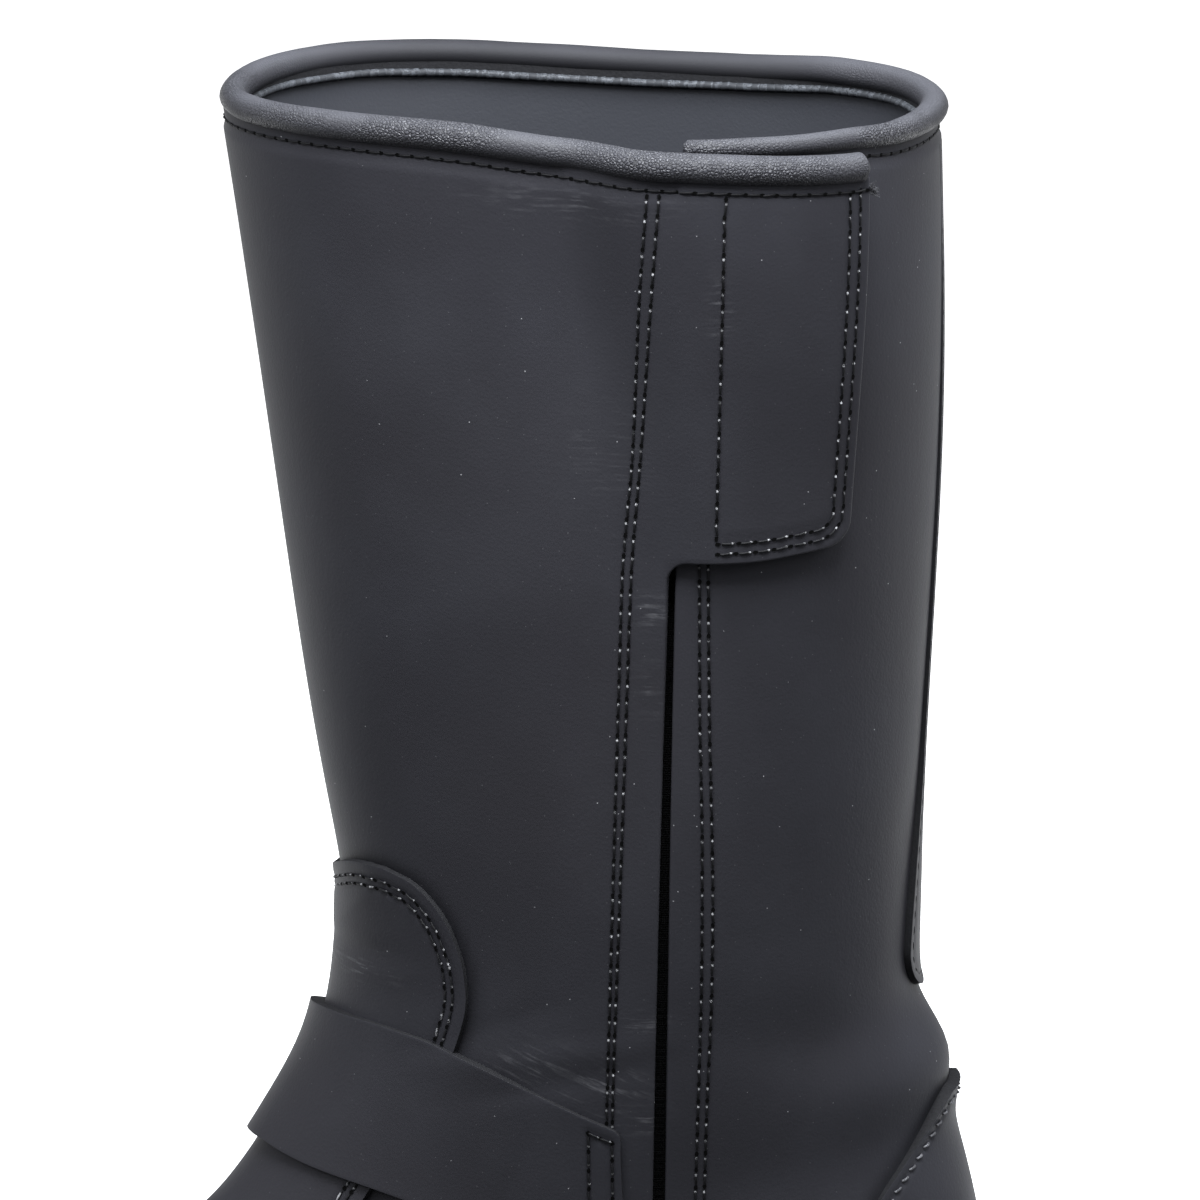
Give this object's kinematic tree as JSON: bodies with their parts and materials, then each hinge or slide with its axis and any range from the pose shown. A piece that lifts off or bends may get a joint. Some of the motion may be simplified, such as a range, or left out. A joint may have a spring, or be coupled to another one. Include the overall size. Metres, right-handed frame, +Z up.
{
  "type": "motorcycle boot",
  "caption": "Right mid-calf motorcycle boot in black leather: side zip under a lapped tab, rolled collar, instep strap and lugged sole.",
  "frame": {"origin": "on the ground, under the middle of the boot's bounding box", "axes": "+X towards the toe, +Y towards the inner side of the foot, +Z up"},
  "size_m": [0.2936, 0.1085, 0.3018],
  "materials": {
    "leather": "matt oiled black leather",
    "binding_leather": "soft grained black leather with a low sheen",
    "sole_edge": "black dressed leather edge",
    "rubber": "matt black rubber",
    "insole_board": "dark grey lined board",
    "zip_tape": "black woven tape with closed coil teeth"
  },
  "bodies": {
    "root": {"outsole": "rubber", "heel": "rubber", "midsole": "sole_edge", "insole": "insole_board", "upper": "leather", "vamp": "leather", "heel_counter": "leather", "backstay": "leather", "instep_strap": "leather", "closure_tab": "leather", "collar_binding": "binding_leather", "zip": "zip_tape"}
  },
  "joints": []
}
